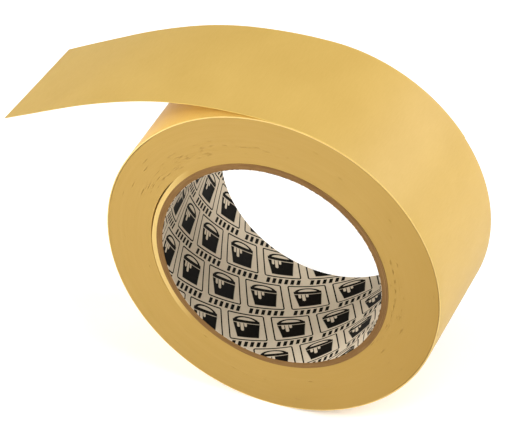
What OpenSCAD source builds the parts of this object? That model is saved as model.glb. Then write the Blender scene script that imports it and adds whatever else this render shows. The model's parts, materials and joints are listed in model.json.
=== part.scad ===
// Roll of crepe-paper masking tape on a spiral-wound board core, with its free end lifted.
// Millimetres. The origin is the middle of the core's bore, the roll's axis is Y and +Z is up.
// The tape leaves the top of the roll towards -X, with its adhesive side facing the roll.

/* [Roll] */
// Width of the tape, and of the core that carries it
tape_w = 48; // [19:1:72]
// Outside diameter of the wound tape
roll_d = 116.4; // [100:0.2:140]

/* [Core] */
// Diameter of the bore
bore_d = 76.2; // [70:0.1:80]
// Thickness of the printed paper that lines the bore
liner_t = 0.15; // [0.1:0.05:0.25]
// Thickness of one ply of core board
ply_t = 0.55; // [0.4:0.05:0.8]

/* [Tape] */
// Thickness of the crepe-paper backing
backing_t = 0.08; // [0.06:0.01:0.12]
// Thickness of the adhesive coat under the backing
adhesive_t = 0.03; // [0.02:0.01:0.05]

/* [Free end] */
// Angle round the roll, up from +X, at which the tape leaves it
peel_angle = 86; // [70:1:110]
// Length of tape still stuck down behind the peel line
stuck_len = 12; // [6:1:20]
// Length of each stretch between one bend line and the next
stretch_len = 26; // [15:1:30]
// Room left between two stretches at a bend line
bend_gap = 0.3; // [0.2:0.05:0.5]
// Room between the roll and the tape that turns round it
turning_gap = 0.1; // [0.05:0.05:0.3]

/* [Hidden] */
$fn = 180;
// Board plies in the core, from the liner outwards
plies = 4;
// Radius that each stretch of the free end curls to, from the roll outwards
curl_r = [154, 118, 185, 1240];
stretches = len(curl_r);
arc_steps = 24;

roll_r = roll_d / 2;
liner_r = bore_d / 2 + liner_t;
core_r = liner_r + plies * ply_t;
// Radius to the underside of the tape that is stuck to the roll
stuck_r = roll_r + turning_gap;

// Degrees that a length along a circle of this radius takes up
function turn(length, radius) = length / radius * 180 / PI;

// Point on a circle in the X-Z plane
function on_circle(centre, radius, angle) =
    centre + radius * [cos(angle), sin(angle)];

// Where stretch i of the tape's underside begins: [x, z, heading]
function start_of(i) =
    i == 0
        ? concat(on_circle([0, 0], stuck_r, peel_angle), peel_angle + 90)
        : let (before = start_of(i - 1), heading = before[2] + turn(stretch_len, curl_r[i - 1]))
          concat(on_circle(curl_centre(i - 1), curl_r[i - 1], heading - 90), heading);

// Centre that stretch i curls round
function curl_centre(i) =
    let (start = start_of(i))
    on_circle([start[0], start[1]], curl_r[i], start[2] + 90);

// Ring about the roll's axis, across the whole width
module ring(inner, outer) {
    rotate([90, 0, 0])
        difference() {
            cylinder(r = outer, h = tape_w, center = true);
            cylinder(r = inner, h = tape_w + 2, center = true);
        }
}

// Sheet curved about an axis along Y, from one angle to another in the X-Z plane
module curved_sheet(centre, inner, thickness, from, to) {
    translate([centre[0], 0, centre[1]])
        rotate([90, 0, 0])
            rotate([0, 0, from])
                rotate_extrude(angle = to - from, $fn = ceil(360 / (to - from) * arc_steps))
                    translate([inner, -tape_w / 2])
                        square([thickness, tape_w]);
}

// One layer of the tape that is stuck to the roll, at a height above the adhesive's underside
module stuck_layer(height, thickness) {
    curved_sheet(
        [0, 0], stuck_r + height, thickness,
        peel_angle - turn(stuck_len, stuck_r),
        peel_angle - turn(bend_gap / 2, stuck_r)
    );
}

// One layer of stretch i of the free end; the last stretch ends in a square cut
module free_layer(i, height, thickness) {
    first = start_of(i)[2] - 90;
    trim = turn(bend_gap / 2, curl_r[i]);
    last = first + turn(stretch_len, curl_r[i]);
    curved_sheet(
        curl_centre(i), curl_r[i] + height, thickness,
        first + trim,
        i == stretches - 1 ? last : last - trim
    );
}

// White printed paper, the innermost strip of the core
module core_liner() {
    color("whitesmoke") ring(bore_d / 2, liner_r);
}

// One strip of brown board, counted from the liner outwards
module core_ply(i) {
    color("peru") ring(liner_r + (i - 1) * ply_t, liner_r + i * ply_t);
}

// All the turns of tape on the core
module wound_tape() {
    color("khaki") ring(core_r, roll_r);
}

module tail_root_backing() {
    color("khaki") stuck_layer(adhesive_t, backing_t);
}

module tail_root_adhesive() {
    color("lightyellow") stuck_layer(0, adhesive_t);
}

module tail_backing(i) {
    color("khaki") free_layer(i - 1, adhesive_t, backing_t);
}

module tail_adhesive(i) {
    color("lightyellow") free_layer(i - 1, 0, adhesive_t);
}

core_liner();
for (i = [1:plies])
    core_ply(i);
wound_tape();
tail_root_backing();
tail_root_adhesive();
for (i = [1:stretches])
    tail_backing(i);
for (i = [1:stretches])
    tail_adhesive(i);
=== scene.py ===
import json
import math
import random

import bmesh
import bpy
from mathutils import Matrix, Vector, noise


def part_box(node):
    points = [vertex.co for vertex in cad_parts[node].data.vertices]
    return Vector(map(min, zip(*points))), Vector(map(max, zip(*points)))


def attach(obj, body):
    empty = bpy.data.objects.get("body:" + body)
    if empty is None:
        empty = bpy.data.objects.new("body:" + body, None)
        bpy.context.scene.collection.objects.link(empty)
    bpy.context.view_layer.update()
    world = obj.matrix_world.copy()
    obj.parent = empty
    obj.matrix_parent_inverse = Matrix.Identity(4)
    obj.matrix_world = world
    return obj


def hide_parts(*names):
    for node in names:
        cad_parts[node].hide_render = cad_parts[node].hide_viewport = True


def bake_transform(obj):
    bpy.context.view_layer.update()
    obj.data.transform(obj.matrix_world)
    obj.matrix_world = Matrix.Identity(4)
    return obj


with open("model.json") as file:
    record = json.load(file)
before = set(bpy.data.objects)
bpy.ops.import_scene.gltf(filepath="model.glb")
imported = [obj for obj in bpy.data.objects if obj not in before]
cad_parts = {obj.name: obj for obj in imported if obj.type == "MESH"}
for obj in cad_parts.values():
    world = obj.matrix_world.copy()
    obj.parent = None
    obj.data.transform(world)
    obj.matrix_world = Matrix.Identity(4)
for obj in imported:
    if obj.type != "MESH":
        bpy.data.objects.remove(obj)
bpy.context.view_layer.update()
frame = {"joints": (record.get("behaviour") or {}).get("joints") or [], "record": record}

MM = 0.001

# ---------------------------------------------------------------------------
# Sizes, read off the frame where it has them
# ---------------------------------------------------------------------------
HALF_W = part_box("wound_tape")[1].y
ROLL_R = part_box("wound_tape")[1].x
CORE_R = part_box("core_ply_4")[1].x
LINER_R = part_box("core_liner")[1].x
BORE_R = next(m for m in frame["record"]["mounts"] if m["name"] == "core_bore")["dims"]["r_mm"] * MM
HINGES = {joint["name"]: Vector(joint["pos_m"]) for joint in frame["joints"]}
PLIES = 4

# The tape: its two layers, and the radius that each stretch of the free end curls to
ADHESIVE = 0.03 * MM
BACKING = 0.08 * MM
STRETCH = 26 * MM
CURLS = [154 * MM, 118 * MM, 185 * MM, 1240 * MM]
FREE = STRETCH * len(CURLS)
PEEL_ANGLE = math.atan2(HINGES["peel_lift"].z, HINGES["peel_lift"].x)
# Room between the roll and the tape that turns round it
TURNING_GAP = 0.1 * MM
STUCK_R = ROLL_R + TURNING_GAP
# The tape that is stuck down rises out of the roll's surface over this length
STUCK_LEN = 52 * MM
SUNK = 0.22 * MM
# The free end twists: its near edge is this much higher at the tip, and its far edge this much lower
TWIST = 1.75 * MM
# It hangs this much under its curl half way along, and its cut is askew: the near edge is shorter
SAG = 0.3 * MM
SKEW = 1.6 * MM
# Distances from the peel line, and from the other hinges on both sides, at which the free end's points are
# found; nothing uses them
PEEL_REACH = 2.2 * MM
BEND_REACH = 12 * MM

# Angle of the core's spiral strips to its rims, and the slit where a strip meets itself
STRIP_ANGLE = math.radians(30)
SLIT = 0.12 * MM

# Side of the roll: it lies this far in from the tape's full width, in rows of this pitch
FACE_IN = 0.22 * MM
ROW = 0.165 * MM
RIM_ROUND = 0.25 * MM
# The outermost wraps stand a little proud, and have parted from the rest along a few arcs
OUTER_WRAPS = 0.55 * MM
OUTER_DEPTH = 0.7 * MM
# A few innermost wraps have come away from the rest and left a crescent gap
GAP_R = 42.25 * MM
GAP_DEPTH = 2.2 * MM
# A parting's half width at its floor and at its lips, and how far off its middle other rows of points stay
FLOOR_HALF = 0.085 * MM
LIP_HALF = 0.1 * MM
ROW_OFF = 0.14 * MM
# Places where a wrap's edge is knocked in, by radius in mm and angle in degrees
LEFT_MARKS = [(47.4, 131), (46.1, 129), (44.6, 137), (44.1, 135), (44.9, 146), (44.8, 142), (46.2, 148),
              (46.0, 153), (53.2, 145), (51.3, 148), (52.0, 158), (45.4, 119), (47.0, 96), (46.2, 92)]
RIGHT_MARKS = [(43.4, 20), (43.3, 15), (43.1, 10), (42.9, 5), (42.7, 0), (42.5, -4), (42.3, -9),
               (41.7, -16), (46.7, -15), (41.0, -30), (45.0, -30), (46.0, -72), (54.0, -80)]

ROUND_STEPS = 320


def spoke(angle):
    """Unit direction away from the roll's axis."""
    return Vector((math.cos(angle), 0, math.sin(angle)))


def ease(t):
    """Smooth step from 0 to 1."""
    t = min(max(t, 0.0), 1.0)
    return t * t * (3 - 2 * t)


def arc_share(angle, middle, half, soft):
    """1 within half degrees of the middle, fading to 0 over soft degrees on both sides."""
    away = abs((math.degrees(angle) - middle + 180) % 360 - 180)
    return ease((half + soft - away) / soft)


# ---------------------------------------------------------------------------
# Mesh helpers
# ---------------------------------------------------------------------------
def new_piece(name, bm, materials, smooth_angle=40):
    """Object from a bmesh, with normals that point outwards."""
    bmesh.ops.recalc_face_normals(bm, faces=bm.faces[:])
    mesh = bpy.data.meshes.new(name)
    bm.to_mesh(mesh)
    bm.free()
    piece = bpy.data.objects.new(name, mesh)
    bpy.context.scene.collection.objects.link(piece)
    for material in materials:
        mesh.materials.append(material)
    mesh.shade_smooth()
    mesh.set_sharp_from_angle(angle=math.radians(smooth_angle))
    return piece


def flat_strip(start, end, thickness, steps, across, half_width, edge=0.0):
    """Flat strip of stock: x along it from start to end, y across the roll, z through it from 0."""
    bm = bmesh.new()
    bmesh.ops.create_grid(bm, x_segments=steps, y_segments=across, size=0.5)
    bmesh.ops.scale(bm, vec=(end - start, 2 * half_width, 1), verts=bm.verts[:])
    bmesh.ops.translate(bm, vec=((start + end) / 2, 0, 0), verts=bm.verts[:])
    top = bmesh.ops.extrude_face_region(bm, geom=bm.faces[:])["geom"]
    raised = [g for g in top if isinstance(g, bmesh.types.BMVert)]
    bmesh.ops.translate(bm, vec=(0, 0, thickness), verts=raised)
    if edge:
        rims = [e for e in bm.edges if all(abs(v.co.y) > half_width * 0.999 for v in e.verts)
                and abs(e.verts[0].co.z - e.verts[1].co.z) < thickness / 2]
        bmesh.ops.bevel(bm, geom=rims, offset=edge, segments=2, profile=0.5, affect="EDGES", material=-1)
    return bm


def lay_uv(bm, name, place):
    """UV map of a flat strip, before it is wrapped, in metres."""
    layer = bm.loops.layers.uv.new(name)
    for face in bm.faces:
        for loop in face.loops:
            loop[layer].uv = place(loop.vert.co)


def wrap(bm, place):
    """Moves each point of a flat strip to its place on the object."""
    for vert in bm.verts:
        vert.co = place(vert.co)


# ---------------------------------------------------------------------------
# Core: a printed liner and plies of board, each a strip wound in a spiral
# ---------------------------------------------------------------------------
def core_strip(name, node, inner, outer, seam, recess, across, material):
    """One helical strip of the core, with its slit crossing the roll's width."""
    around = 2 * math.pi * inner
    half = HALF_W - recess
    edge = min(0.07 * MM, (outer - inner) / 3)
    bm = flat_strip(SLIT / 2, around - SLIT / 2, outer - inner, ROUND_STEPS, across, half, edge)

    def along(co):
        return co.x + co.y / math.tan(STRIP_ANGLE)

    start = math.radians(seam)
    cos, sin = math.cos(STRIP_ANGLE), math.sin(STRIP_ANGLE)

    def strip_uv(co):
        from_bottom = along(co) + inner * (start - 1.5 * math.pi)
        return from_bottom * cos + co.y * sin, co.y * cos - from_bottom * sin

    lay_uv(bm, "Strip", strip_uv)
    wrap(bm, lambda co: spoke(start + along(co) / inner) * (inner + co.z) + Vector((0, co.y, 0)))
    piece = new_piece(name, bm, [material])
    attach(piece, "roll")
    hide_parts(node)
    return piece


def build_core(liner_material, board_material):
    liner = core_strip("liner_strip", "core_liner", BORE_R, LINER_R, 85, 0.04 * MM, 64, liner_material)
    ply = (CORE_R - LINER_R) / PLIES
    for i in range(PLIES):
        inner = LINER_R + i * ply
        recess = (0.03 + 0.05 * (i % 2)) * MM
        strip = core_strip(f"board_strip_{i + 1}", f"core_ply_{i + 1}", inner, inner + ply, 40 + 97 * i,
                           recess, 28, board_material)


# ---------------------------------------------------------------------------
# Roll: every wrap's edge shows on the sides, a little in or out of its neighbours
# ---------------------------------------------------------------------------
def side_rows():
    """Radii of the rows of points across a side of the roll, closer together at the two partings."""
    rows = [CORE_R + ROW * k for k in range(int((ROLL_R - RIM_ROUND - CORE_R) / ROW) + 1)]
    for middle in (GAP_R, ROLL_R - OUTER_WRAPS):
        rows = [r for r in rows if abs(r - middle) > ROW_OFF]
        rows += [middle + step for step in (-LIP_HALF, -FLOOR_HALF, FLOOR_HALF, LIP_HALF)]
    return sorted(rows)


def side_marks(side):
    """Knocked-in lengths of wrap edge by row: lists of (angle in degrees, half length, depth)."""
    dice = random.Random(11 + side)
    chosen = [(r * MM, angle, 0.5, 0.24 * MM) for r, angle in LEFT_MARKS + RIGHT_MARKS] if side < 0 else []
    for middle, spread, low, high, count in ((137, 24, 43.6, 49.5, 60), (105, 20, 43.6, 49.0, 20),
                                             (0, 30, 41.4, 46.5, 20), (200, 170, 43.0, 56.5, 34)):
        for _ in range(count):
            chosen.append((dice.uniform(low, high) * MM, middle + dice.uniform(-spread, spread),
                           dice.uniform(0.2, 0.7), dice.uniform(0.06, 0.18) * MM))
    marks = {}
    for radius, angle, half, depth in chosen:
        row = round((radius - CORE_R) / ROW)
        marks.setdefault(row, []).append((angle, half, depth))
        marks.setdefault(row + 1, []).append((angle + 0.8, half, -0.6 * depth))
    return marks


def gap_opening(angle, side):
    """How far the crescent gap is open, from 0 to 1."""
    if side > 0:
        return 0.35 * arc_share(angle, 300, 14, 30)
    return max(arc_share(angle, 163, 8, 14), 0.3 * arc_share(angle, 190, 16, 12))


def rim_parting(angle, side):
    """How far the outermost wraps have parted from the rest, from 0 to 1."""
    places = ((28, 26), (-28, 8), (152, 12)) if side < 0 else ((70, 15), (215, 20))
    return max(arc_share(angle, middle, half, 8) for middle, half in places)


def depth_in(radius, angle, side, marks):
    """How far in from the tape's full width the side lies, at a radius and angle."""
    x, z = math.cos(angle), math.sin(angle)
    r = radius / MM
    slow = noise.noise(Vector((r * 0.16, x * 1.3 + 5 * side, z * 1.3)))
    wraps = noise.noise(Vector((r * 2.3, x * 1.1, z * 1.1 + 9 * side)))
    fine = noise.noise(Vector((r * 6.1, x * 4.0 + 3 * side, z * 4.0)))
    depth = FACE_IN + (0.05 * slow + 0.005 * wraps + 0.007 * fine) * MM
    depth -= 0.12 * MM * ease((radius - ROLL_R + OUTER_WRAPS - 0.04 * MM) / (0.08 * MM))
    if side < 0:
        inner = ease((GAP_R - radius) / (0.1 * MM)) * arc_share(angle, 180, 25, 35)
        depth -= 0.12 * MM * inner
    for middle, half, mark_depth in marks.get(round((radius - CORE_R) / ROW), ()):
        depth += mark_depth * arc_share(angle, middle, half, 0.8)
    return max(depth, 0.0)


def roll_profile(bm):
    """Closed outline of the roll's section, at angle 0."""
    rows = side_rows()
    arc = [math.radians(step * 22.5) for step in range(5)]
    near = [(r, -HALF_W) for r in rows]
    near += [(ROLL_R - RIM_ROUND * (1 - math.sin(a)), -HALF_W + RIM_ROUND * (1 - math.cos(a))) for a in arc]
    span = [(ROLL_R, -HALF_W + RIM_ROUND + (2 * HALF_W - 2 * RIM_ROUND) * k / 12) for k in range(1, 12)]
    outline = near + span + [(r, -y) for r, y in reversed(near)]
    verts = [bm.verts.new((r, y, 0)) for r, y in outline]
    for a, b in zip(verts, verts[1:] + verts[:1]):
        bm.edges.new((a, b))
    return verts


def press_in_sides(bm):
    """Moves the points of the sides to where the wraps' edges lie, and opens the partings."""
    marks = {side: side_marks(side) for side in (-1, 1)}
    floor_reach = (FLOOR_HALF + LIP_HALF) / 2
    for vert in bm.verts:
        x, y, z = vert.co
        share = ease((abs(y) - (HALF_W - 2 * MM)) / (1.6 * MM))
        if not share:
            continue
        radius, angle = math.hypot(x, z), math.atan2(z, x)
        side = -1 if y < 0 else 1
        opening = gap_opening(angle, side)
        depth = depth_in(radius, angle, side, marks[side])
        if abs(radius - GAP_R) < floor_reach:
            depth += GAP_DEPTH * opening
        if abs(radius - ROLL_R + OUTER_WRAPS) < floor_reach:
            depth += OUTER_DEPTH * rim_parting(angle, side)
        if radius < ROLL_R - 2 * MM:
            pull = ease(1 - abs(radius - GAP_R) / (1.6 * MM)) * opening
            radius += (-0.26 if radius < GAP_R else 0.1) * MM * pull
        vert.co = spoke(angle) * radius + Vector((0, y - side * depth * share, 0))


def split_materials(piece):
    """Second material on the sides of the roll, where the wraps' edges show."""
    for face in piece.data.polygons:
        if abs(face.normal.y) > 0.35 and math.hypot(face.center.x, face.center.z) < ROLL_R - 0.06 * MM:
            face.material_index = 1


def build_roll(backing_material, side_material):
    bm = bmesh.new()
    profile = roll_profile(bm)
    bmesh.ops.spin(bm, geom=profile + bm.edges[:], cent=(0, 0, 0), axis=(0, 1, 0), angle=2 * math.pi,
                   steps=ROUND_STEPS, use_merge=True)
    bmesh.ops.remove_doubles(bm, verts=bm.verts[:], dist=0.002 * MM)
    press_in_sides(bm)
    layer = bm.loops.layers.uv.new("Tape")
    for face in bm.faces:
        middle = face.calc_center_median()
        reference = math.atan2(middle.z, middle.x)
        for loop in face.loops:
            x, y, z = loop.vert.co
            angle = math.atan2(z, x)
            angle += 2 * math.pi * round((reference - angle) / (2 * math.pi))
            loop[layer].uv = ((angle - PEEL_ANGLE) * STUCK_R, y)
    piece = new_piece("wound_turns", bm, [backing_material, side_material])
    split_materials(piece)
    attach(piece, "roll")
    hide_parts("wound_tape")
    return piece


# ---------------------------------------------------------------------------
# Free end: one strip in two layers, cut half way between its bend lines
# ---------------------------------------------------------------------------
def tape_at(s):
    """Point and outward direction on the tape's underside, s along it from the peel line."""
    if s < 0:
        out = spoke(PEEL_ANGLE + s / STUCK_R)
        return out * (STUCK_R - SUNK * -s / STUCK_LEN), out
    angle = PEEL_ANGLE
    point = spoke(angle) * STUCK_R
    for radius in CURLS:
        step = min(s, STRETCH)
        centre = point - spoke(angle) * radius
        angle += step / radius
        point = centre + spoke(angle) * radius
        s -= step
        if s <= 0:
            break
    return point, spoke(angle)


def on_tape(co):
    """Place of a point of the flat tape: x along it from the peel line, y across, z through it."""
    near = (1 - co.y / HALF_W) / 2
    along = co.x - SKEW * near * ease((co.x - FREE + STRETCH) / STRETCH)
    point, out = tape_at(along)
    free = max(along, 0.0) / FREE
    lift = -TWIST * free ** 1.15 * co.y / HALF_W - SAG * math.sin(math.pi * free)
    wave = 0.12 * MM * ease(free * 3) * noise.noise(Vector((along / MM * 0.045, co.y / MM * 0.03, 2.7)))
    return point + out * (co.z + lift + wave) + Vector((0, co.y, 0))


def tape_layer(name, start, end, low, thickness, material):
    """One layer of a length of tape, as a closed sheet."""
    steps = round((end - start) / (0.4 * MM))
    bm = flat_strip(start, end, thickness, steps, 24, HALF_W)
    bmesh.ops.translate(bm, vec=(0, 0, low), verts=bm.verts[:])
    lay_uv(bm, "Tape", lambda co: (co.x, co.y))
    wrap(bm, on_tape)
    return new_piece(name, bm, [material], smooth_angle=60)


def build_free_end(backing_material, adhesive_material):
    """Lengths of tape, each with one hinge in it, that meet half way between two."""
    for i in range(4):
        hinge = i * STRETCH
        start = -STUCK_LEN if i == 0 else hinge - STRETCH / 2
        end = FREE if i == 3 else hinge + STRETCH / 2
        bend_start = tape_at(hinge - (0 if i == 0 else BEND_REACH))[0]
        bend_end = tape_at(hinge + (PEEL_REACH if i == 0 else BEND_REACH))[0]
        layers = (("adhesive", 0, ADHESIVE, adhesive_material, "adhesive"),
                  ("backing", ADHESIVE, BACKING, backing_material, "crepe_paper"))
        for label, low, thickness, material, slot in layers:
            piece = tape_layer(f"free_end_{label}_{i + 1}", start, end, low, thickness, material)
            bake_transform(piece)
            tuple(bend_start)
            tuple(bend_end)
            nodes = [f"tail_{label}_{i + 1}"] + ([f"tail_root_{label}"] if i == 0 else [])
            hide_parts(*nodes)


# ---------------------------------------------------------------------------
# Shader helpers
# ---------------------------------------------------------------------------
class Wiring:
    """Adds nodes to a node tree, and links or sets their inputs as they are added."""

    def __init__(self, tree):
        self.tree = tree

    def feed(self, socket, value):
        if isinstance(value, bpy.types.NodeSocket):
            self.tree.links.new(value, socket)
        else:
            socket.default_value = value

    def node(self, kind, inputs, **settings):
        made = self.tree.nodes.new(kind)
        for name, value in settings.items():
            setattr(made, name, value)
        for key, value in inputs.items():
            self.feed(made.inputs[key], value)
        return made.outputs

    def math(self, operation, *values):
        return self.node("ShaderNodeMath", dict(enumerate(values)), operation=operation)[0]

    def span(self, value, low, high, to_low=0.0, to_high=1.0):
        """Maps low..high to to_low..to_high, held at both ends."""
        keys = {"Value": value, "From Min": low, "From Max": high, "To Min": to_low, "To Max": to_high}
        return self.node("ShaderNodeMapRange", keys)[0]

    def mix(self, share, a, b, blend="MIX"):
        return self.node("ShaderNodeMix", {0: share, 6: a, 7: b}, data_type="RGBA", blend_type=blend)[2]

    def scaled(self, vector, x, y, z):
        return self.node("ShaderNodeVectorMath", {0: vector, 1: (x, y, z)}, operation="MULTIPLY")[0]

    def noise(self, vector, detail=3.0, rough=0.55):
        return self.node("ShaderNodeTexNoise", {"Vector": vector, "Scale": 1.0, "Detail": detail,
                                                "Roughness": rough})["Fac"]

    def length(self, a, b):
        """Square root of the sum of two squares."""
        squares = [self.math("MULTIPLY", part, part) for part in (a, b)]
        return self.math("SQRT", self.math("ADD", *squares))

    def for_camera(self, otherwise, seen):
        """One value where the camera looks straight at it, and another for the light that it gives."""
        looked_at = self.node("ShaderNodeLightPath", {})["Is Camera Ray"]
        return self.span(looked_at, 0.0, 1.0, otherwise, seen)

    def split(self, vector):
        return self.node("ShaderNodeSeparateXYZ", {"Vector": vector})

    def join(self, x, y, z=0.0):
        return self.node("ShaderNodeCombineXYZ", {0: x, 1: y, 2: z})[0]

    def uv(self, name):
        return self.node("ShaderNodeUVMap", {}, uv_map=name)[0]

    def place(self):
        return self.node("ShaderNodeTexCoord", {})["Object"]

    def bumped(self, height, strength, distance):
        keys = {"Height": height, "Strength": strength, "Distance": distance}
        return self.node("ShaderNodeBump", keys)["Normal"]

    def group(self, group, inputs):
        made = self.tree.nodes.new("ShaderNodeGroup")
        made.node_tree = group
        for key, value in inputs.items():
            self.feed(made.inputs[key], value)
        return made.outputs


def new_group(name, inputs, outputs):
    """Shader node group with its named sockets: (wiring, its inputs, its outputs)."""
    tree = bpy.data.node_groups.new(name, "ShaderNodeTree")
    for direction, sockets in (("INPUT", inputs), ("OUTPUT", outputs)):
        for label, kind in sockets.items():
            tree.interface.new_socket(label, in_out=direction, socket_type="NodeSocket" + kind)
    return Wiring(tree), tree.nodes.new("NodeGroupInput").outputs, tree.nodes.new("NodeGroupOutput").inputs


def new_material(name, **constants):
    """Principled material: (material, wiring, the shader's inputs). The constants are set on the shader."""
    material = bpy.data.materials.new(name)
    material.use_nodes = True
    shader = material.node_tree.nodes["Principled BSDF"]
    for key, value in constants.items():
        shader.inputs[key.replace("_", " ")].default_value = value
    return material, Wiring(material.node_tree), shader.inputs


def fibre_group():
    """Mottle of matted paper fibres. Size is the length of a fibre in metres."""
    wires, given, out = new_group("paper_fibres", {"Vector": "Vector", "Size": "Float"},
                                  {"Tone": "Float", "Height": "Float"})
    scale = wires.math("DIVIDE", 1.0, given["Size"])
    place = wires.node("ShaderNodeVectorMath", {0: given["Vector"], "Scale": scale}, operation="SCALE")[0]
    long_way = wires.noise(wires.scaled(place, 1.0, 4.5, 1.0), 4.0, 0.65)
    cross_way = wires.noise(wires.scaled(place, 4.0, 1.0, 4.0), 4.0, 0.65)
    tone = wires.math("MULTIPLY", wires.math("ADD", long_way, cross_way), 0.5)
    wires.feed(out["Tone"], wires.span(tone, 0.32, 0.68))
    wires.feed(out["Height"], wires.math("MAXIMUM", long_way, cross_way))
    return wires.tree


def crepe_group():
    """Crepe of the backing: fine wrinkles across the tape. The vector is metres along and across it."""
    wires, given, out = new_group("crepe", {"Vector": "Vector"}, {"Tone": "Float", "Height": "Float"})
    wrinkles = wires.noise(wires.scaled(given["Vector"], 1900, 230, 0), 3.0, 0.6)
    fine = wires.noise(wires.scaled(given["Vector"], 5200, 1100, 0), 2.0, 0.6)
    clouds = wires.noise(wires.scaled(given["Vector"], 55, 40, 0), 3.0, 0.5)
    height = wires.math("MULTIPLY_ADD", fine, 0.3, wires.math("MULTIPLY", wrinkles, 0.7))
    tone = wires.math("MULTIPLY_ADD", clouds, 0.6, wires.math("MULTIPLY", height, 0.4))
    wires.feed(out["Height"], height)
    wires.feed(out["Tone"], wires.span(tone, 0.34, 0.66))
    return wires.tree


def wraps_group():
    """Fine lines round the axis, as on the edges of wound layers. Pitch is their spacing in metres."""
    wires, given, out = new_group("wound_layers", {"Vector": "Vector", "Pitch": "Float"},
                                  {"Tone": "Float", "Height": "Float", "Radius": "Float"})
    x, _, z = wires.split(given["Vector"])
    radius = wires.length(x, z)
    count = wires.math("DIVIDE", radius, given["Pitch"])
    ways = wires.math("DIVIDE", x, radius), wires.math("DIVIDE", z, radius)

    def streaks(across, along, detail, rough):
        turned = [wires.math("MULTIPLY", way, along) for way in ways]
        return wires.noise(wires.join(wires.math("MULTIPLY", count, across), *turned), detail, rough)

    bands = streaks(0.09, 1.2, 4.0, 0.6)
    lines = streaks(0.55, 7.0, 2.0, 0.5)
    tone = wires.math("MULTIPLY_ADD", lines, 0.4, wires.math("MULTIPLY", bands, 0.6))
    wires.feed(out["Tone"], wires.span(tone, 0.36, 0.64))
    wires.feed(out["Height"], lines)
    wires.feed(out["Radius"], radius)
    return wires.tree


# ---------------------------------------------------------------------------
# Materials
# ---------------------------------------------------------------------------
# The liner's print: its pitch along and across the strip, and where it starts from the bore's bottom
PRINT_PITCH = (15.4 * MM, 15.2 * MM)
PRINT_START = (2.95 * MM, 0.72 * MM)


def backing_finish(crepe):
    """Cream crepe paper with its release coat: satin, with wrinkles across the tape, and a painted
    highlight along its cut edges.
    """
    material, wires, shader = new_material("crepe_backing", IOR=1.45, Specular_IOR_Level=0.3)
    tape = wires.uv("Tape")
    crepe_out = wires.group(crepe, {"Vector": tape})
    colour = wires.mix(crepe_out["Tone"], (0.580, 0.376, 0.096, 1), (0.630, 0.418, 0.114, 1))
    # Painted highlight: a paler colour in a narrow band along both edges of the tape
    off_middle = wires.math("ABSOLUTE", wires.split(tape)[1])
    edge_highlight = wires.span(off_middle, HALF_W - 0.35 * MM, HALF_W - 0.1 * MM, 0.0, 0.6)
    colour = wires.mix(edge_highlight, colour, (0.800, 0.560, 0.140, 1))
    wires.feed(shader["Base Color"], colour)
    wires.feed(shader["Roughness"], wires.span(crepe_out["Height"], 0.3, 0.7, 0.52, 0.42))
    wires.feed(shader["Normal"], wires.bumped(crepe_out["Height"], 0.35, 0.03 * MM))
    return material


def side_finish(wraps, fibres):
    """Edges of the wound wraps: backing and adhesive in turn, deeper in colour than the tape's face, with
    painted shade and a painted highlight.
    """
    material, wires, shader = new_material("wrap_edges", IOR=1.45, Specular_IOR_Level=0.3)
    place = wires.place()
    x, _, z = wires.split(place)
    lines = wires.group(wraps, {"Vector": place, "Pitch": ADHESIVE + BACKING})
    mottle = wires.group(fibres, {"Vector": place, "Size": 2.5 * MM})
    radius = lines["Radius"]
    colour = wires.mix(lines["Tone"], (0.426, 0.262, 0.058, 1), (0.448, 0.278, 0.065, 1))
    colour = wires.mix(wires.math("MULTIPLY", mottle["Tone"], 0.35), colour, (0.438, 0.265, 0.056, 1))
    # Painted shade: the sides grow darker towards the lower right
    painted_shade_low_right = wires.span(wires.math("SUBTRACT", x, wires.math("MULTIPLY", z, 0.4)), 15 * MM, 60 * MM)
    colour = wires.mix(painted_shade_low_right, colour, (0.390, 0.228, 0.041, 1))
    # The loose innermost wraps on the left are paler; along the outermost wraps' lip, all the way round,
    # the paler colour is a painted highlight
    left = wires.span(x, -28 * MM, -36 * MM)
    inner = wires.math("MULTIPLY", wires.span(radius, GAP_R - 0.1 * MM, GAP_R + 0.2 * MM, 0.6, 0.0), left)
    rim = wires.span(radius, ROLL_R - 0.5 * MM, ROLL_R - 0.35 * MM)
    colour = wires.mix(wires.math("MAXIMUM", inner, rim), colour, (0.780, 0.560, 0.200, 1))
    # Painted shade in the parting inside them, darkest at the upper right
    upper = wires.span(z, -22 * MM, -6 * MM, 0.0, 0.75)
    upper_right = wires.math("MULTIPLY", wires.span(x, 15 * MM, 30 * MM), upper)
    off_parting = wires.math("SUBTRACT", radius, ROLL_R - OUTER_WRAPS - 0.03 * MM)
    parting_shade = wires.span(wires.math("ABSOLUTE", off_parting), 0.1 * MM, 0.22 * MM, 1.0, 0.0)
    colour = wires.mix(wires.math("MULTIPLY", parting_shade, upper_right), colour, (0.200, 0.110, 0.025, 1))
    wires.feed(shader["Base Color"], colour)
    wires.feed(shader["Roughness"], wires.span(lines["Tone"], 0.0, 1.0, 0.62, 0.5))
    height = wires.math("MULTIPLY_ADD", mottle["Height"], 0.4, lines["Height"])
    wires.feed(shader["Normal"], wires.bumped(height, 0.22, 0.04 * MM))
    return material


def adhesive_finish(fibres):
    """Rubbery adhesive coat with a soft shine. Its glow stands for light that comes through the tape."""
    material, wires, shader = new_material("adhesive_coat", IOR=1.5, Specular_IOR_Level=0.5)
    shader["Emission Color"].default_value = (1.0, 0.70, 0.02, 1)
    wires.feed(shader["Emission Strength"], wires.for_camera(0.2, 0.03))
    mottle = wires.group(fibres, {"Vector": wires.uv("Tape"), "Size": 1.6 * MM})
    colour = wires.mix(mottle["Tone"], (0.605, 0.395, 0.070, 1), (0.655, 0.449, 0.095, 1))
    wires.feed(shader["Base Color"], colour)
    wires.feed(shader["Roughness"], wires.span(mottle["Tone"], 0.0, 1.0, 0.38, 0.28))
    wires.feed(shader["Normal"], wires.bumped(mottle["Height"], 0.25, 0.03 * MM))
    return material


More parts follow.
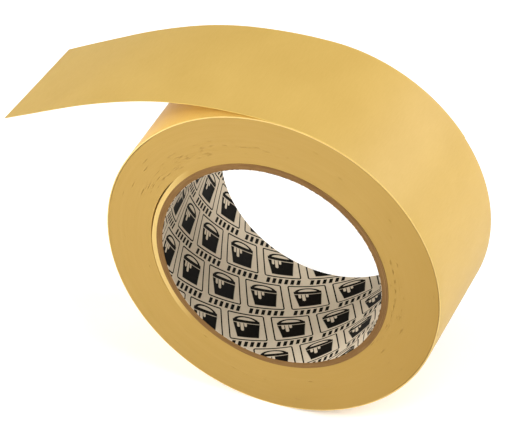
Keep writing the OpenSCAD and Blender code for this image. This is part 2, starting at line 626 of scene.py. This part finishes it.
def board_finish(wraps, fibres):
    """Brown core board, with the darker glue lines of its layers and matted fibres."""
    material, wires, shader = new_material("core_board", Roughness=0.85, Specular_IOR_Level=0.2)
    place = wires.place()
    lines = wires.group(wraps, {"Vector": place, "Pitch": 0.3 * MM})
    mottle = wires.group(fibres, {"Vector": place, "Size": 1.3 * MM})
    colour = wires.mix(lines["Tone"], (0.171, 0.083, 0.025, 1), (0.259, 0.141, 0.047, 1))
    colour = wires.mix(wires.math("MULTIPLY", mottle["Tone"], 0.5), colour, (0.197, 0.101, 0.030, 1))
    wires.feed(shader["Base Color"], colour)
    wires.feed(shader["Normal"], wires.bumped(mottle["Height"], 0.6, 0.08 * MM))
    return material


def box_distance(wires, x, y, half_x, half_y):
    """Distance outside a rectangle about the origin, negative inside it."""
    out_x = wires.math("SUBTRACT", wires.math("ABSOLUTE", x), half_x)
    out_y = wires.math("SUBTRACT", wires.math("ABSOLUTE", y), half_y)
    far = [wires.math("MAXIMUM", part, 0.0) for part in (out_x, out_y)]
    inside = wires.math("MINIMUM", wires.math("MAXIMUM", out_x, out_y), 0.0)
    return wires.math("ADD", wires.length(*far), inside)


def paint_pot(wires, x, y):
    """Ink of a plain paint pot about its middle, in mm: body with three runs of paint, rim and bail."""
    def solid(shape, softness=0.1):
        return wires.span(shape, 0.0, softness, 1.0, 0.0)

    taper = wires.math("MULTIPLY_ADD", y, -0.04, 1.0)
    across_body = wires.math("MULTIPLY", x, taper)
    body = solid(box_distance(wires, across_body, wires.math("ADD", y, 1.45), 4.3, 2.95), 0.25)
    rim = solid(box_distance(wires, x, wires.math("SUBTRACT", y, 2.45), 4.7, 0.55))
    runs = None
    for middle, length, radius in ((-2.9, 1.3, 0.4), (-1.6, 2.6, 0.5), (-0.3, 0.9, 0.4)):
        across = wires.math("SUBTRACT", x, middle)
        below = wires.math("MINIMUM", wires.math("ADD", y, length - 1.5), 0.0)
        run = solid(wires.math("SUBTRACT", wires.length(across, below), radius))
        runs = run if runs is None else wires.math("MAXIMUM", runs, run)
    body = wires.math("MULTIPLY", body, wires.math("SUBTRACT", 1.0, runs))
    rise = wires.math("DIVIDE", wires.math("SUBTRACT", y, 2.6), 1.9)
    out = wires.math("DIVIDE", x, 3.9)
    off_oval = wires.math("ABSOLUTE", wires.math("SUBTRACT", wires.length(rise, out), 1.0))
    bail = wires.span(off_oval, 0.12, 0.17, 1.0, 0.0)
    bail = wires.math("MULTIPLY", bail, wires.span(rise, 0.0, 0.05))
    return wires.math("MAXIMUM", wires.math("MAXIMUM", body, rim), bail)


def liner_ink(wires, strip):
    """Ink of the liner's print, in mm: staggered rows of framed paint pots over rows of slanting bars."""
    pitch_x, pitch_y = PRINT_PITCH[0] / MM, PRINT_PITCH[1] / MM
    placed = wires.node("ShaderNodeVectorMath", {0: strip, 1: (*PRINT_START, 0)}, operation="ADD")[0]
    x, y, _ = wires.split(wires.scaled(placed, 1 / MM, 1 / MM, 0))
    row = wires.math("DIVIDE", y, pitch_y)
    odd_row = wires.math("MODULO", wires.math("ABSOLUTE", wires.math("FLOOR", row)), 2.0)
    column = wires.math("ADD", wires.math("DIVIDE", x, pitch_x), wires.math("MULTIPLY", odd_row, 0.5))

    def within(count, pitch):
        """Distance from the middle of a repeat."""
        return wires.math("MULTIPLY", wires.math("SUBTRACT", wires.math("FRACT", count), 0.5), pitch)

    cell_x, cell_y = within(column, pitch_x), within(row, pitch_y)
    picture_y = wires.math("SUBTRACT", cell_y, 1.6)
    off_frame = wires.math("SUBTRACT", box_distance(wires, cell_x, picture_y, 5.8, 5.1), 0.55)
    frame_line = wires.span(wires.math("ABSOLUTE", off_frame), 0.22, 0.28, 1.0, 0.0)
    bar_pitch = 2.15
    slanted = wires.math("ADD", wires.math("MULTIPLY_ADD", cell_y, -0.35, cell_x), 4.4)
    bar_x = within(wires.math("DIVIDE", slanted, bar_pitch), bar_pitch)
    off_bar = box_distance(wires, bar_x, wires.math("ADD", cell_y, 5.95), 0.55, 1.1)
    bar_ink = wires.span(off_bar, 0.0, 0.1, 1.0, 0.0)
    in_row = wires.span(wires.math("ABSOLUTE", cell_x), 6.4, 6.5, 1.0, 0.0)
    bar_ink = wires.math("MULTIPLY", bar_ink, in_row)
    ink = wires.math("MAXIMUM", frame_line, paint_pot(wires, cell_x, picture_y))
    return wires.math("MAXIMUM", ink, bar_ink)


def liner_finish(fibres):
    """Off-white liner paper with a dark one-colour print."""
    material, wires, shader = new_material("liner_paper", Specular_IOR_Level=0.05)
    strip = wires.uv("Strip")
    mottle = wires.group(fibres, {"Vector": strip, "Size": 1.8 * MM})
    paper = wires.mix(mottle["Tone"], (0.577, 0.482, 0.351, 1), (0.655, 0.561, 0.421, 1))
    ink = liner_ink(wires, strip)
    worn = wires.math("MULTIPLY", ink, wires.span(mottle["Tone"], 0.0, 1.0, 0.985, 1.0))
    wires.feed(shader["Base Color"], wires.mix(worn, paper, (0.002, 0.0015, 0.001, 1)))
    wires.feed(shader["Roughness"], wires.math("MULTIPLY_ADD", ink, -0.08, 0.68))
    wires.feed(shader["Normal"], wires.bumped(mottle["Height"], 0.3, 0.04 * MM))
    return material


# ---------------------------------------------------------------------------
# Floor, light and camera
# ---------------------------------------------------------------------------
# Soft round lights: name, azimuth and elevation in degrees, power in watts
LIGHTS = [("right", 110, 38, 4.2), ("left_low", -70, 12, 3.5), ("front", -20, 38, 3.3),
          ("front_left", -45, 38, 2.0), ("right_high", 75, 65, 1.9), ("back_right", 150, 18, 1.9)]
LIGHT_AWAY = 0.85
LIGHT_SIZE = 0.45
# Light from all round, and the floor's glow near the object: first as the object meets it, then as seen
SKY = (0.1, 1.0)
FLOOR_GLOW = (0.13, 0.24)
FLOOR_SIZE = 4.0
# The floor's glow grows from the nearer distance to the farther one
GLOW_GROWS = (0.4, 1.3)
# The camera: azimuth and elevation in degrees, distance, shift to its right and up, and focal length in mm
CAMERA_WAY = (22.871, 38.165)
CAMERA_AWAY = 1.0175
CAMERA_SHIFT = (-0.01408, 0.00362)
LENS = 218.33


def add_floor():
    """White floor, which glows more far away so that it stays as bright as it is under the lights."""
    bm = bmesh.new()
    bmesh.ops.create_grid(bm, x_segments=1, y_segments=1, size=FLOOR_SIZE)
    bmesh.ops.translate(bm, vec=(0, 0, -ROLL_R), verts=bm.verts[:])
    material, wires, shader = new_material("floor", Roughness=0.9, Specular_IOR_Level=0.1)
    shader["Base Color"].default_value = (0.95, 0.95, 0.95, 1)
    shader["Emission Color"].default_value = (1, 1, 1, 1)
    away = wires.node("ShaderNodeVectorMath", {0: wires.place()}, operation="LENGTH")["Value"]
    glow = wires.math("MAXIMUM", wires.span(away, *GLOW_GROWS), wires.for_camera(*FLOOR_GLOW))
    wires.feed(shader["Emission Strength"], glow)
    new_piece("studio_floor", bm, [material])


def toward(azimuth, elevation):
    """Unit direction in degrees: azimuth is from the roll's near side, turning towards +X."""
    a, e = math.radians(azimuth), math.radians(elevation)
    return Vector((math.sin(a) * math.cos(e), -math.cos(a) * math.cos(e), math.sin(e)))


def light_studio():
    """Soft round lights about the object, and a weak light from all round that the camera sees as white."""
    world = bpy.data.worlds.new("studio")
    world.use_nodes = True
    wires = Wiring(world.node_tree)
    background = world.node_tree.nodes["Background"].inputs
    background["Color"].default_value = (1, 1, 1, 1)
    wires.feed(background["Strength"], wires.for_camera(*SKY))
    bpy.context.scene.world = world
    for name, azimuth, elevation, power in LIGHTS:
        lamp = bpy.data.lights.new(name, "AREA")
        lamp.shape = "DISK"
        lamp.size = LIGHT_SIZE
        lamp.energy = power
        holder = bpy.data.objects.new(name, lamp)
        away = toward(azimuth, elevation)
        holder.location = away * LIGHT_AWAY
        holder.rotation_euler = away.to_track_quat("Z", "Y").to_euler()
        bpy.context.scene.collection.objects.link(holder)


def add_camera():
    """Long lens from the front, to the right and above."""
    back = toward(*CAMERA_WAY)
    right = Vector((-back.y, back.x, 0)).normalized()
    up = back.cross(right)
    lens = bpy.data.cameras.new("camera")
    lens.sensor_width = 36
    lens.lens = LENS
    lens.clip_start = 0.01
    camera = bpy.data.objects.new("camera", lens)
    turn = Matrix((right, up, back)).transposed().to_4x4()
    place = back * CAMERA_AWAY + right * CAMERA_SHIFT[0] + up * CAMERA_SHIFT[1]
    camera.matrix_world = Matrix.Translation(place) @ turn
    bpy.context.scene.collection.objects.link(camera)
    bpy.context.scene.camera = camera


add_camera()
light_studio()
add_floor()
bpy.context.scene.view_settings.view_transform = "Standard"

fibres = fibre_group()
wraps = wraps_group()
backing = backing_finish(crepe_group())
build_core(liner_finish(fibres), board_finish(wraps, fibres))
build_roll(backing, side_finish(wraps, fibres))
build_free_end(backing, adhesive_finish(fibres))
